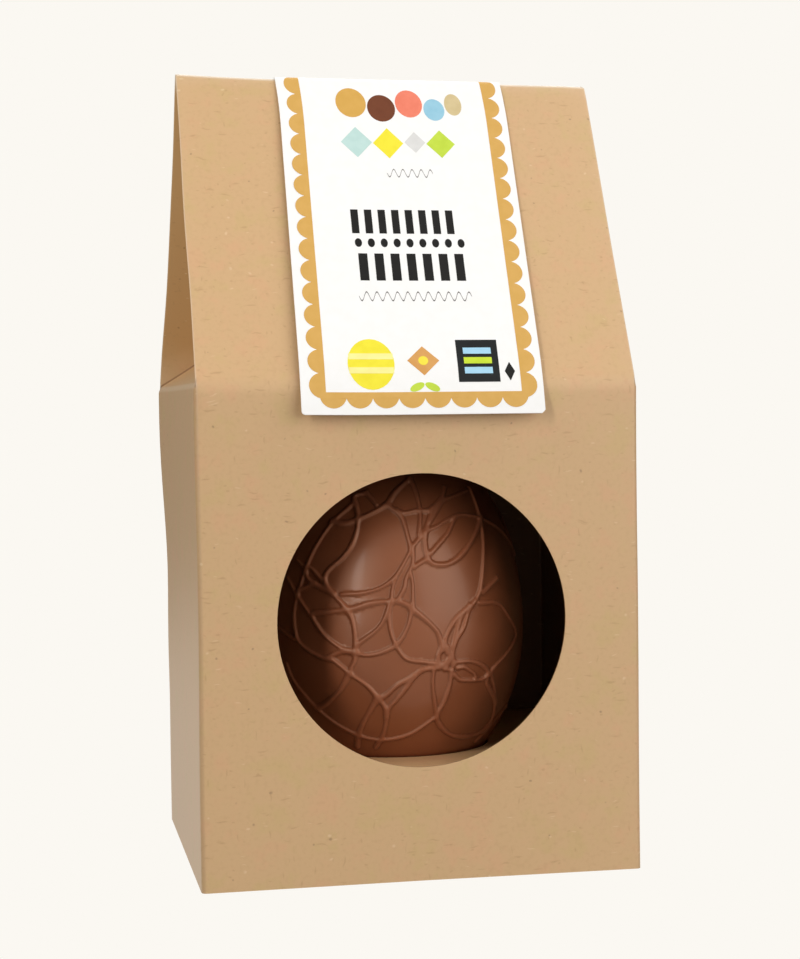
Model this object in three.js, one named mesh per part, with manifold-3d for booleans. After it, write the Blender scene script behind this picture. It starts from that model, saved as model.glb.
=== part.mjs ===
// A drizzled milk chocolate egg standing in a folded window carton, with a paper label over its ridge.
// Millimetres, +Z up, the window faces -Y, and the origin is the middle of the carton's base.

import * as THREE from 'three';
import { ConvexGeometry } from 'three/addons/geometries/ConvexGeometry.js';
import { mergeVertices } from 'three/addons/utils/BufferGeometryUtils.js';
import Module from 'manifold-3d';

const wasm = await Module();
wasm.setup();

// Carton: upright walls, two slopes that meet in a rounded ridge, and a side wall tucked in at each end.
const WIDTH = 110;
const DEPTH = 88;
const SHOULDER = 122;        // height of the upright walls
const RIDGE = 202;           // top of the ridge
const RIDGE_RADIUS = 1.6;    // outside radius of the fold there
const SEAM = 2.5;            // height of the solid seam of glued layers under the ridge
const BOARD = 0.6;           // carton board, also used for the shelf
const FLAP_GAP = 0.3;        // between the bottom flaps and the walls round them
const WINDOW_DIAMETER = 72;
const WINDOW_HEIGHT = 64;    // of the window's centre

// Shelf: a plate with a round hole, on two legs folded down beside the side walls.
const SHELF_HEIGHT = 27.1;   // top of the plate
const HOLE_DIAMETER = 50.4;
const SHELF_GAP = 0.5;       // to the walls all round
const STANDING_GAP = 0.3;    // between the legs and the bottom flaps

// Egg: two half ellipses share their widest circle.
const EGG_X = 1;
const EGG_DIAMETER = 69.6;
const EGG_WIDEST = 58.3;     // height of the widest circle
const EGG_LOWER = 44;        // from there to the blunt end
const EGG_UPPER = 52;        // and to the narrower top

// Drizzle: flat-topped strands of thin chocolate.
const STRAND_WIDTH = 1.7;
const STRAND_TOP = 0.7;      // width of a strand's flat top
const STRAND_HEIGHT = 0.7;
const STRAND_ROOT = 0.5;     // how deep a strand is sunk in the egg
const STRAND_STEP = 4.4;
const STRAND_LOWEST = 29.5;  // keeps the drizzle clear of the shelf

// Label: a strip of card folded over the ridge, standing a little off both slopes.
const LABEL_WIDTH = 60.6;
const LABEL_LENGTH = 101.6;   // on each side of the ridge
const LABEL_CARD = 0.4;
const LABEL_GAP = 0.5;       // under the fold
const LABEL_SPREAD = THREE.MathUtils.degToRad(0.7);  // each leg leans out from its slope by this
const LABEL_SKEW = THREE.MathUtils.degToRad(1);      // and the strip lies this far from square
const LABEL_X = 2;           // middle of the strip, at the ridge

// Drizzle on the window side, one strand a line: degrees round from the front and millimetres up.
const FRONT_STRANDS = [
  [[1, 98], [-9, 94.5], [-13, 92], [-28, 87.5], [-38, 88]],
  [[-27, 94.5], [-30, 93], [-27, 85.5], [-31, 80], [-41, 73.5], [-28, 63.5], [-27, 53.5], [-29, 51]],
  [[-33, 91.5], [-42, 87], [-50, 79.5], [-54, 72], [-57, 64], [-55, 58], [-43, 54], [-37, 53], [-22, 46],
    [-14, 41], [-15, 35.5], [-21, 30]],
  [[-64, 73], [-60, 71], [-41, 59.5], [-33, 56], [-27, 57]],
  [[-59, 77.5], [-54, 76], [-49, 75.5], [-43, 73]],
  [[-52, 75.5], [-51, 73.5], [-36, 69.5]],
  [[-55, 70], [-46, 72]],
  [[-33, 69.5], [-23, 70], [-11, 72.5], [-7, 77], [-2, 81], [13, 87], [30, 88.5], [55, 84.5], [76, 76.5]],
  [[-46, 64.5], [-28, 66], [-19, 67.5], [-7, 67.5], [7, 59.5], [10, 56]],
  [[-26, 57], [-16, 62], [-12, 67.5]],
  [[-12, 70.5], [-12, 64], [-10, 57], [-4, 53], [9, 51.5]],
  [[-3, 66], [-5, 61.5], [-9, 57.5], [-21, 54.5], [-36, 53.5]],
  [[-9, 90], [-6, 88], [-2, 80]],
  [[-13, 91.5], [-9, 90], [-1, 89.5], [14, 91.5], [40, 94.5]],
  [[1, 98], [3, 95.5], [4, 90], [2, 84]],
  [[11, 90.5], [3, 83.5]],
  [[23, 95.5], [8, 87]],
  [[23, 88], [6, 79.5]],
  [[42, 87.5], [14, 77], [5, 79], [6, 84.5]],
  [[5, 78], [0, 77], [-11, 67.5]],
  [[44, 95], [40, 85.5], [33, 76], [28, 69], [15, 62], [12, 59.5], [10, 53]],
  [[23, 64.5], [14, 55], [15, 50]],
  [[42, 72], [31, 69]],
  [[28, 66.5], [41, 65.5], [47, 62.5], [55, 57], [38, 49.5], [33, 47.5], [21, 47.5], [16, 48.5]],
  [[16, 52.5], [27, 51], [35, 47.5]],
  [[14, 49], [12, 44], [9, 39], [18, 33.5], [28, 31.5], [46, 34], [42, 41], [34, 47.5]],
  [[5, 50.5], [9, 38.5]],
  [[9, 38], [-4, 33.5], [-23, 32.5], [-42, 37], [-60, 47], [-63, 51]],
  [[-30, 50], [-37, 44], [-49, 40]],
  [[-19, 42], [-25, 38], [-33, 30]],
  [[-18, 44], [-1, 50.5], [7, 51]],
  [[-68, 60], [-56, 57.5]],
  [[-2, 76], [-3, 66]],
];

// The rest of the egg carries strands that wander by a rule.
const WANDERING_STRANDS = 15;
const WANDERING_POINTS = 7;
const WANDERING_STRIDE = 8;
const WANDERING_TURN = THREE.MathUtils.degToRad(75);
const SEED = 4171;

const eggShoulder = (height) => (height > EGG_WIDEST ? EGG_UPPER : EGG_LOWER);

function eggRadius(height) {
  const part = (height - EGG_WIDEST) / eggShoulder(height);
  return (EGG_DIAMETER / 2) * Math.sqrt(Math.max(0, 1 - part * part));
}

// A closed three.js geometry as a solid that can be cut and joined.
function solidOf(geometry) {
  const bare = geometry.clone();
  bare.deleteAttribute('normal');
  bare.deleteAttribute('uv');
  const merged = mergeVertices(bare, 1e-4);
  const corners = merged.index.array;
  const whole = [];
  for (let i = 0; i < corners.length; i += 3) {
    const [a, b, c] = corners.slice(i, i + 3);
    if (a !== b && b !== c && c !== a) whole.push(a, b, c);
  }
  return new wasm.Manifold(new wasm.Mesh({
    numProp: 3,
    vertProperties: new Float32Array(merged.attributes.position.array),
    triVerts: new Uint32Array(whole),
  }));
}

function geometryOf(solid) {
  const mesh = solid.getMesh();
  const geometry = new THREE.BufferGeometry();
  geometry.setAttribute('position', new THREE.BufferAttribute(mesh.vertProperties, 3));
  geometry.setIndex(new THREE.BufferAttribute(mesh.triVerts, 1));
  return geometry;
}

// A profile drawn in Y and Z, run along X and centred there.
function alongX(profile, length, curveSegments) {
  const geometry = new THREE.ExtrudeGeometry(profile, { depth: length, bevelEnabled: false, curveSegments });
  return geometry.applyMatrix4(new THREE.Matrix4().set(
    0, 0, 1, -length / 2,
    1, 0, 0, 0,
    0, 1, 0, 0,
    0, 0, 0, 1,
  ));
}

function boxBetween(low, high) {
  const size = high.clone().sub(low);
  const middle = low.clone().add(high).multiplyScalar(0.5);
  return new THREE.BoxGeometry(size.x, size.y, size.z).translate(middle.x, middle.y, middle.z);
}

// The slopes touch the ridge's round top, so they lean by a little less than a straight line to its centre.
const RIDGE_CENTRE = RIDGE - RIDGE_RADIUS;
const CORNER_TO_CENTRE = Math.hypot(DEPTH / 2, RIDGE_CENTRE - SHOULDER);
const LEAN = Math.atan2(DEPTH / 2, RIDGE_CENTRE - SHOULDER) - Math.asin(RIDGE_RADIUS / CORNER_TO_CENTRE);
const APEX = RIDGE_CENTRE + RIDGE_RADIUS / Math.sin(LEAN);   // where the slopes would meet if sharp

// The carton's outline from the side, moved inwards by inset.
function cartonProfile(inset) {
  const half = DEPTH / 2 - inset;
  const shoulder = SHOULDER - inset * Math.tan(LEAN / 2);
  const profile = new THREE.Shape();
  profile.moveTo(-half, inset);
  profile.lineTo(half, inset);
  profile.lineTo(half, shoulder);
  profile.absarc(0, RIDGE_CENTRE, RIDGE_RADIUS - inset, LEAN, Math.PI - LEAN, false);
  profile.lineTo(-half, shoulder);
  profile.closePath();
  return profile;
}

// Each side wall is creased at 45 degrees from its shoulder corners and pushed in, which leaves a valley
// with three flat faces. Its deepest point follows from the board keeping its lengths.
function valley(side, inset) {
  const half = DEPTH / 2;
  const climb = APEX - SHOULDER;
  const spare = Math.hypot(half, climb) - half;   // of the side wall, above the crease's end
  const rise = (climb ** 2 - spare ** 2) / (2 * climb);
  const reach = Math.sqrt(half ** 2 - rise ** 2);
  const deepest = new THREE.Vector3(side * (WIDTH / 2 - reach), 0, SHOULDER + rise);
  const rim = [
    new THREE.Vector3(side * WIDTH / 2, -half, SHOULDER),
    new THREE.Vector3(side * WIDTH / 2, half, SHOULDER),
    new THREE.Vector3(side * WIDTH / 2, 0, APEX),
  ];
  const edges = rim.map((corner) => corner.clone().sub(deepest));
  const inwards = edges.map((edge, i) => {
    const normal = edge.clone().cross(edges[(i + 1) % 3]).normalize();
    return normal.dot(edges[(i + 2) % 3]) > 0 ? normal.negate() : normal;
  });
  const rows = inwards.flatMap((normal) => normal.toArray());
  const shift = new THREE.Vector3(inset, inset, inset).applyMatrix3(new THREE.Matrix3().set(...rows).invert());
  const tip = deepest.clone().add(shift);
  const past = 1.3;   // carries the cut out through the end of the carton
  return solidOf(new ConvexGeometry([tip, ...edges.map((edge) => tip.clone().addScaledVector(edge, past))]));
}

function foldedBox(inset) {
  return solidOf(alongX(cartonProfile(inset), WIDTH - 2 * inset, 4))
    .subtract(valley(-1, inset))
    .subtract(valley(1, inset));
}

function buildCarton() {
  const windowCut = new THREE.CylinderGeometry(WINDOW_DIAMETER / 2, WINDOW_DIAMETER / 2, 4 * BOARD, 72)
    .translate(0, -DEPTH / 2, WINDOW_HEIGHT);
  const seam = solidOf(alongX(cartonProfile(0), WIDTH, 4)).intersect(solidOf(boxBetween(
    new THREE.Vector3(-WIDTH, -DEPTH, RIDGE - SEAM),
    new THREE.Vector3(WIDTH, DEPTH, RIDGE + SEAM),
  )));
  const bottomCut = boxBetween(
    new THREE.Vector3(BOARD - WIDTH / 2, BOARD - DEPTH / 2, -BOARD),
    new THREE.Vector3(WIDTH / 2 - BOARD, DEPTH / 2 - BOARD, 2 * BOARD),
  );
  return foldedBox(0)
    .subtract(foldedBox(BOARD))
    .subtract(solidOf(windowCut))
    .subtract(solidOf(bottomCut))
    .add(seam);
}

// The folded bottom flaps lie between the walls as one plate.
function buildBaseFlaps() {
  const edge = BOARD + FLAP_GAP;
  return solidOf(boxBetween(
    new THREE.Vector3(edge - WIDTH / 2, edge - DEPTH / 2, 0),
    new THREE.Vector3(WIDTH / 2 - edge, DEPTH / 2 - edge, BOARD),
  ));
}

function buildShelf() {
  const halfWidth = WIDTH / 2 - BOARD - SHELF_GAP;
  const halfDepth = DEPTH / 2 - BOARD - SHELF_GAP;
  const plate = new THREE.Shape();
  plate.moveTo(-halfWidth, -halfDepth);
  plate.lineTo(halfWidth, -halfDepth);
  plate.lineTo(halfWidth, halfDepth);
  plate.lineTo(-halfWidth, halfDepth);
  plate.closePath();
  const hole = new THREE.Path();
  hole.absarc(EGG_X, 0, HOLE_DIAMETER / 2, 0, 2 * Math.PI, true);
  plate.holes.push(hole);
  let shelf = solidOf(new THREE.ExtrudeGeometry(plate, { depth: BOARD, bevelEnabled: false, curveSegments: 32 })
    .translate(0, 0, SHELF_HEIGHT - BOARD));
  for (const side of [-1, 1]) {
    const leg = new THREE.BoxGeometry(BOARD, 2 * halfDepth, SHELF_HEIGHT - BOARD - STANDING_GAP)
      .translate(side * (halfWidth - BOARD / 2), 0, (SHELF_HEIGHT + BOARD + STANDING_GAP) / 2);
    shelf = shelf.add(solidOf(leg));
  }
  return shelf;
}

// A point on the egg, given degrees round from the front and a height, and the way out from it there.
function onEgg(degrees, height) {
  const round = THREE.MathUtils.degToRad(degrees);
  const radius = eggRadius(height);
  const point = new THREE.Vector3(radius * Math.sin(round), -radius * Math.cos(round), height);
  const outward = new THREE.Vector3(
    point.x / (EGG_DIAMETER / 2) ** 2,
    point.y / (EGG_DIAMETER / 2) ** 2,
    (height - EGG_WIDEST) / eggShoulder(height) ** 2,
  ).normalize();
  return { point, outward };
}

// A strand is a straight bar of its section, laid along its route on the egg and thinned at both ends.
function strandSolid(route) {
  const places = route.map(([degrees, height]) => new THREE.Vector3(degrees, Math.max(height, STRAND_LOWEST), 0));
  const curve = new THREE.CatmullRomCurve3(places, false, 'centripetal');
  const at = (along) => {
    const place = curve.getPoint(along);
    return onEgg(place.x, Math.max(place.y, STRAND_LOWEST));
  };
  let length = 0;
  const samples = 8 * route.length;
  for (let i = 0; i < samples; i += 1) {
    length += at(i / samples).point.distanceTo(at((i + 1) / samples).point);
  }
  const steps = Math.max(2, Math.round(length / STRAND_STEP));
  const section = new THREE.Shape([
    new THREE.Vector2(-STRAND_WIDTH / 2, -STRAND_ROOT),
    new THREE.Vector2(STRAND_WIDTH / 2, -STRAND_ROOT),
    new THREE.Vector2(STRAND_TOP / 2, STRAND_HEIGHT),
    new THREE.Vector2(-STRAND_TOP / 2, STRAND_HEIGHT),
  ]);
  const bar = new THREE.ExtrudeGeometry(section, { depth: 1, steps, bevelEnabled: false });
  const corners = bar.attributes.position;
  for (let i = 0; i < corners.count; i += 1) {
    const along = corners.getZ(i);
    const { point, outward } = at(along);
    const ahead = at(Math.min(1, along + 0.01)).point.clone().sub(at(Math.max(0, along - 0.01)).point);
    const aside = ahead.cross(outward).normalize();
    const fromEnd = Math.min(along, 1 - along) * length;
    const thin = Math.min(1, 0.45 + 0.55 * fromEnd / STRAND_WIDTH);
    const up = corners.getY(i) > 0 ? corners.getY(i) * thin : corners.getY(i);
    point.addScaledVector(aside, -corners.getX(i) * thin).addScaledVector(outward, up);
    corners.setXYZ(i, point.x, point.y, point.z);
  }
  return solidOf(bar);
}

// Routes for the top, the back and the sides, where a strand strides on and turns a little at every step.
function wanderingRoutes() {
  let state = SEED;
  const random = () => {
    state = (state * 16807) % 2147483647;
    return state / 2147483647;
  };
  const routes = [];
  for (let strand = 0; strand < WANDERING_STRANDS; strand += 1) {
    let degrees = 90 + 180 * random();
    let height = 40 + 55 * random();
    let heading = 2 * Math.PI * random();
    const bend = WANDERING_TURN * (random() - 0.5);
    const route = [];
    for (let i = 0; i < WANDERING_POINTS; i += 1) {
      route.push([degrees, height]);
      heading += bend + WANDERING_TURN * (random() - 0.5);
      const radius = Math.max(12, eggRadius(height));
      degrees += THREE.MathUtils.radToDeg(WANDERING_STRIDE * Math.cos(heading) / radius);
      height += WANDERING_STRIDE * Math.sin(heading);
      degrees = THREE.MathUtils.clamp(degrees, 82, 278);
      height = THREE.MathUtils.clamp(height, STRAND_LOWEST + 2, 104);
    }
    routes.push(route);
  }
  return routes;
}

function buildEgg() {
  const outline = [];
  const rings = 22;
  for (let i = 0; i <= rings; i += 1) {
    const turn = Math.PI * (i / rings - 0.5);
    const reach = Math.sin(turn) > 0 ? EGG_UPPER : EGG_LOWER;
    const radius = i === 0 || i === rings ? 0 : (EGG_DIAMETER / 2) * Math.cos(turn);
    outline.push(new THREE.Vector2(radius, EGG_WIDEST + reach * Math.sin(turn)));
  }
  const body = new THREE.LatheGeometry(outline, 36).rotateX(Math.PI / 2);
  let egg = solidOf(body);
  for (const route of [...FRONT_STRANDS, ...wanderingRoutes()]) {
    egg = egg.add(strandSolid(route));
  }
  return egg.translate([EGG_X, 0, 0]);
}

// The label's cross section: two straight legs joined by an arc round the ridge.
function buildLabel() {
  const lean = LEAN + LABEL_SPREAD;
  const inner = RIDGE_RADIUS + LABEL_GAP;
  const outer = inner + LABEL_CARD;
  const leg = LABEL_LENGTH - (inner + LABEL_CARD / 2) * (Math.PI / 2 - lean);
  const down = new THREE.Vector2(Math.sin(lean), -Math.cos(lean)).multiplyScalar(leg);
  const foot = (radius, side) => new THREE.Vector2(
    side * (radius * Math.cos(lean) + down.x),
    RIDGE_CENTRE + radius * Math.sin(lean) + down.y,
  );
  const profile = new THREE.Shape();
  profile.moveTo(foot(inner, 1).x, foot(inner, 1).y);
  profile.lineTo(foot(outer, 1).x, foot(outer, 1).y);
  profile.absarc(0, RIDGE_CENTRE, outer, lean, Math.PI - lean, false);
  profile.lineTo(foot(outer, -1).x, foot(outer, -1).y);
  profile.lineTo(foot(inner, -1).x, foot(inner, -1).y);
  profile.absarc(0, RIDGE_CENTRE, inner, Math.PI - lean, lean, true);
  profile.closePath();
  const strip = alongX(profile, LABEL_WIDTH, 5);
  const corners = strip.attributes.position;
  for (let i = 0; i < corners.count; i += 1) {
    const aside = corners.getY(i) / Math.sin(lean) * Math.tan(LABEL_SKEW);
    corners.setX(i, corners.getX(i) + LABEL_X + aside);
  }
  return solidOf(strip);
}

const finishes = {
  kraft: { color: 0xc4a074, roughness: 0.85, metalness: 0 },
  insertBoard: { color: 0xb48a5c, roughness: 0.85, metalness: 0 },
  chocolate: { color: 0x5e3420, roughness: 0.35, metalness: 0 },
  whiteCard: { color: 0xf7f5f0, roughness: 0.6, metalness: 0 },
};

const part = new THREE.Group();

function addPiece(name, solid, finish) {
  const mesh = new THREE.Mesh(geometryOf(solid), new THREE.MeshStandardMaterial(finish));
  mesh.name = name;
  part.add(mesh);
}

addPiece('carton', buildCarton(), finishes.kraft);
addPiece('base_flaps', buildBaseFlaps(), finishes.kraft);
addPiece('shelf', buildShelf(), finishes.insertBoard);
addPiece('egg', buildEgg(), finishes.chocolate);
addPiece('label', buildLabel(), finishes.whiteCard);

export default part;
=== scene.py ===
"""Looks for a drizzled milk chocolate egg that stands in a folded kraft carton with a round window.

Everything is in metres, +Z up, the window faces -Y and the origin is the middle of the carton's base.
"""

import math
import random

import bmesh
import bpy
import numpy as np
from mathutils import Matrix, Vector
from mathutils.kdtree import KDTree


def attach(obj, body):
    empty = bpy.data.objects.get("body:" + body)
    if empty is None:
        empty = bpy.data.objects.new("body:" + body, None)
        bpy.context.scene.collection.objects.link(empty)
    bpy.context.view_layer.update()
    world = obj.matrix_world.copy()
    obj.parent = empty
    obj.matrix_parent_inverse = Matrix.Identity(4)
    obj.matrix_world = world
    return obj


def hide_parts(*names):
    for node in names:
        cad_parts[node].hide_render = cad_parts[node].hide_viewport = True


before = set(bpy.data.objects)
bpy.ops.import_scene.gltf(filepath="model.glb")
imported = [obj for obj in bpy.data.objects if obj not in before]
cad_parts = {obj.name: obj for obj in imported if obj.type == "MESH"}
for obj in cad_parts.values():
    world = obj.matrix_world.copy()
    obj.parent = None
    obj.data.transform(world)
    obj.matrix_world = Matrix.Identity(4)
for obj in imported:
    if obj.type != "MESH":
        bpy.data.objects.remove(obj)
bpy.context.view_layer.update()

MM = 0.001
TOUCH = 0.01 * MM            # places no further apart than this are one

# Carton, with the sizes of its solid.
WIDTH = 110 * MM
DEPTH = 88 * MM
SHOULDER = 122 * MM          # height of the upright walls
RIDGE = 202 * MM             # top of the ridge
RIDGE_RADIUS = 1.6 * MM
BOARD = 0.6 * MM
WINDOW_DIAMETER = 72 * MM
WINDOW_HEIGHT = 64 * MM      # of the window's centre
WINDOW_CUT = 8 * MM          # depth of the cut that makes it, well over the board's
RIDGE_CENTRE = RIDGE - RIDGE_RADIUS
LEAN = math.atan2(DEPTH / 2, RIDGE_CENTRE - SHOULDER) - math.asin(
    RIDGE_RADIUS / math.hypot(DEPTH / 2, RIDGE_CENTRE - SHOULDER))
APEX = RIDGE_CENTRE + RIDGE_RADIUS / math.sin(LEAN)    # where the slopes would meet if sharp

# How far each kind of fold is eased, measured along the board from the sharp edge.
RIDGE_FOLD = RIDGE_RADIUS / math.tan(LEAN)
SHOULDER_FOLD = 2.2 * MM
UPRIGHT_FOLD = 1.3 * MM
SIDE_FOLD = 1.2 * MM
RIM_FOLD = 0.9 * MM
TUCK_FOLD = 0.5 * MM
FOLD_SEGMENTS = 4
FOLD_MARKS = {               # how each fold is painted, and how strongly: darker from scoring, and in the valleys of the tucked-in sides as painted shade, or paler, partly from wear and partly as a painted highlight
    RIDGE_FOLD: ("wear_and_highlight", 1.0),
    SHOULDER_FOLD: ("wear_and_highlight", 0.0),
    UPRIGHT_FOLD: ("score_and_shade", 0.35),
    SIDE_FOLD: ("wear_and_highlight", 0.3),
    RIM_FOLD: ("wear_and_highlight", 0.4),
    TUCK_FOLD: ("score_and_shade", 1.0),
}
RIDGE_RISE = 0.75 * MM       # how far the ridge's left-hand end is drawn up
RISE_START = 24 * MM
CORNER_RADIUS = 1.5 * MM     # of the rubbed corner at the ridge's right-hand end
MARK_REACH = 1.1             # how far a fold's mark reaches, as a share of its ease
MARK_FADE = 0.5              # and over how much of that it fades
TUCK_EDGE = 0.1 * MM         # how far behind the slopes the painted shade of a tucked-in side begins
TUCK_REACH = 0.35 * MM       # over how far from there it comes in
TUCK_RISE = 12 * MM          # and over how far above the shoulder
INNER_SHADE_DEPTH = 0.92 * BOARD  # how far within the carton's sides its board counts as their inside, which is painted deeper as painted shade
BOARD_GRID = 6 * MM          # spacing of the cuts that let the board bow

# How the board bows sideways. A bow is how far it stands out, the height of its middle, and its reach below
# that and above it.
LEFT_BOWS = [(0.35 * MM, 164 * MM, 15 * MM, 15 * MM)]
LEFT_BACK_BOWS = [(1.7 * MM, 119 * MM, 35 * MM, 31 * MM), (0.35 * MM, 54 * MM, 14 * MM, 14 * MM)]
RIGHT_BOWS = [(-0.43 * MM, 140 * MM, 110 * MM, 38 * MM), (-0.18 * MM, 100 * MM, 26 * MM, 26 * MM),
              (-0.3 * MM, 0, 50 * MM, 50 * MM)]
RIGHT_OUT = 0.68 * MM        # how far the right-hand side stands out where it has no bow
LEFT_RIPPLE = 0.22 * MM      # how far the left-hand side ripples
FACE_RIPPLE = 0.2 * MM       # and how far the front and the back do
FACE_RIPPLE_START = 30 * MM  # height at which they ripple in full
FOOT_HEIGHT = 45 * MM        # below which the right-hand side is pushed in, and its front corner forward
FOOT_FORWARD = 1.3 * MM
FOOT_INWARD = 0.3 * MM

# Egg: two half ellipses share their widest circle.
EGG_X = 1 * MM
EGG_DIAMETER = 69.6 * MM
EGG_WIDEST = 58.3 * MM
EGG_LOWER = 44 * MM
EGG_UPPER = 52 * MM
EGG_SEGMENTS = 128
EGG_RINGS = 64

# Drizzle: each strand is a domed bead on the shell, and strands that meet run together in a web.
STRAND_HEIGHT = 0.55 * MM
STRAND_REACH = (0.48 * MM, 0.74 * MM)    # half the width of the thinnest and of the thickest strand
STRAND_LOWEST = 29.5                     # millimetres, keeps the drizzle clear of the shelf
STRAND_FOOT = 0.35                       # pull of a strand at its foot, where it is 1 on the strand's line
STRAND_SAMPLE = 0.16 * MM                # from one point of a strand's line to the next
SPAN_POINTS = 60                         # points worked out between two stops of a strand's route
SWELL = 0.13                             # how much wider and thinner a strand gets along its way
SWELL_LENGTH = (9 * MM, 16 * MM)         # how far apart its thick places are
PILE_UP = 0.22                           # how much a crossing rises over a single strand
PULL_END = 2.2                           # where a strand's pull ends, as a share of its reach
PULL_BATCH = 4_000_000                   # distances worked out at once

# The shell is divided finer and finer near the strands: how near, and to how many degrees from the front.
SHELL_DIVISIONS = ((2.6 * MM, 180), (1.5 * MM, 180), (0.95 * MM, 100))

# Drizzle on the window side. A strand's route is in degrees round from the front and millimetres up.
FRONT_STRANDS = [
    [(1, 98), (-9, 94.5), (-13, 92), (-26, 88.5), (-35, 87), (-43, 87.5)],
    [(-26, 94.5), (-32.5, 93.5), (-30.5, 91.5), (-28.5, 89), (-28, 85.5), (-30, 81.5), (-33, 79),
     (-41.5, 73.5), (-28, 63.5), (-27, 53.5), (-29, 51)],
    [(-25.5, 94.5), (-22, 93), (-19, 91.5)],
    [(-33, 91.5), (-42, 87), (-50, 79.5), (-54, 72), (-57, 64), (-55, 58), (-51.5, 56), (-42, 53.5),
     (-37, 53), (-29, 49.5), (-22, 46.5), (-18.5, 44), (-15, 41), (-14.5, 38), (-16.5, 33.5), (-21, 30)],
    [(-64, 73), (-60, 71), (-47.5, 64), (-41, 59.5), (-34, 56.5), (-30, 55.5), (-26, 55)],
    [(-59, 77.5), (-54, 76), (-49, 75.5), (-43, 73)],
    [(-52, 75.5), (-51, 73.5), (-36, 69.5)],
    [(-55, 70), (-46, 72)],
    [(-33, 69.5), (-23, 70), (-15, 71.5), (-9.5, 74), (-5.5, 77.5), (-1.5, 81), (5, 84.5), (12, 86),
     (18.5, 87.5), (30, 88.5), (55, 84.5), (76, 76.5)],
    [(-46, 64.5), (-28, 66), (-19, 67.5), (-7, 67.5), (-1, 65), (5.5, 61.5), (8, 59.5), (10, 55.5)],
    [(-26, 57), (-16, 62), (-12, 67.5)],
    [(-9.5, 73.5), (-11, 71), (-11.5, 68), (-12.5, 64), (-11.5, 59.5), (-8.5, 55.5), (-5.5, 53.5),
     (2.5, 52.5), (7, 52)],
    [(-3, 66), (-5, 61.5), (-9, 57.5), (-14.5, 55.5), (-22.5, 54.5), (-29, 55.5), (-36, 54.5), (-39, 53.5)],
    [(-8, 90), (-5.5, 88), (-3, 82.5), (-2, 80.5)],
    [(-13, 91.5), (-9, 90), (-4, 89.5), (2, 90), (9, 90), (17, 92), (40, 94.5)],
    [(1, 98), (3, 95.5), (4, 90), (2, 84)],
    [(11, 90.5), (7.5, 87), (4.5, 84)],
    [(23, 95.5), (8, 87)],
    [(23, 88), (16.5, 84), (11, 81.5), (7, 79.5)],
    [(42, 87.5), (18.5, 77.5), (11, 76.5), (6, 77.5), (4.5, 80.5), (5, 84.5)],
    [(-2, 81), (-1.5, 79), (-2, 77), (-5, 73.5), (-6, 71), (-9, 68)],
    [(4.5, 78), (1, 77), (-1.5, 76)],
    [(44, 95), (40, 85.5), (34.5, 77), (30, 70), (27, 67.5), (22.5, 65.5), (17, 63.5), (13, 60.5),
     (11, 57.5), (12, 54.5)],
    [(23, 66), (19.5, 64), (17, 61), (14.5, 56)],
    [(26, 67), (22.5, 64.5), (19.5, 60.5), (15.5, 57), (14.5, 54.5), (15, 51)],
    [(9.5, 56), (8, 54), (8, 52.5), (8.5, 51.5)],
    [(12, 56), (13, 53.5), (12.5, 52), (11, 50.5)],
    [(7, 51), (9.5, 51), (11.5, 50.5), (14.5, 50)],
    [(9, 51.5), (11, 52), (13, 53)],
    [(42, 72), (31, 69)],
    [(28, 66.5), (41, 65.5), (47, 62.5), (55, 57), (38, 49.5), (34.5, 48), (32, 47), (23, 47), (18.5, 47.5),
     (15.5, 49)],
    [(16, 52), (22, 52), (26, 51.5), (30, 50.5), (33.5, 49), (34.5, 48)],
    [(17, 50.5), (20.5, 50.5), (23.5, 49.5), (26, 48.5), (27, 47.5)],
    [(14, 49.5), (14, 47), (12, 42), (9.5, 38), (11.5, 36), (18.5, 33), (30.5, 31.5), (44.5, 32.5),
     (48, 35), (45.5, 39), (41, 43.5), (36, 48)],
    [(34, 47.5), (34, 46), (36, 44.5), (45, 40)],
    [(63, 37.5), (53, 35), (42.5, 29.5)],
    [(6, 50.5), (6, 46.5), (8, 41), (9.5, 38)],
    [(9, 38), (-4, 33.5), (-23, 32.5), (-42, 37), (-60, 47), (-63, 51)],
    [(-29.5, 50), (-33, 46.5), (-36, 44.5), (-44.5, 41), (-49, 40)],
    [(-19, 42.5), (-23.5, 38.5), (-26.5, 36), (-29, 33.5), (-31.5, 30)],
    [(-18, 43.5), (-15, 44), (-9, 47), (-2.5, 49), (1, 50.5), (8, 51)],
    [(-2.5, 49), (-4, 47.5), (-10, 43), (-13, 41), (-14.5, 38.5)],
    [(-68, 60), (-56, 57.5)],
    [(-3, 74.5), (-2.5, 73), (-2.5, 67)],
]

# The rest of the egg carries strands that wander by the same rule as its solid's, also in degrees and
# millimetres.
WANDERING_STRANDS = 15
WANDERING_POINTS = 7
WANDERING_STRIDE = 8
WANDERING_TURN = math.radians(75)
WANDERING_START = ((90, 270), (40, 95))    # how far round and how far up a strand may start
WANDERING_SIDES = (82, 278)                # how far round it may go
WANDERING_TOP = 104                        # how far up
WANDERING_FOOT = STRAND_LOWEST + 2         # and how far down
WANDERING_AXIS = 12                        # a stride nearer the axis turns as if it were this far out
SEED = 4171

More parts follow.
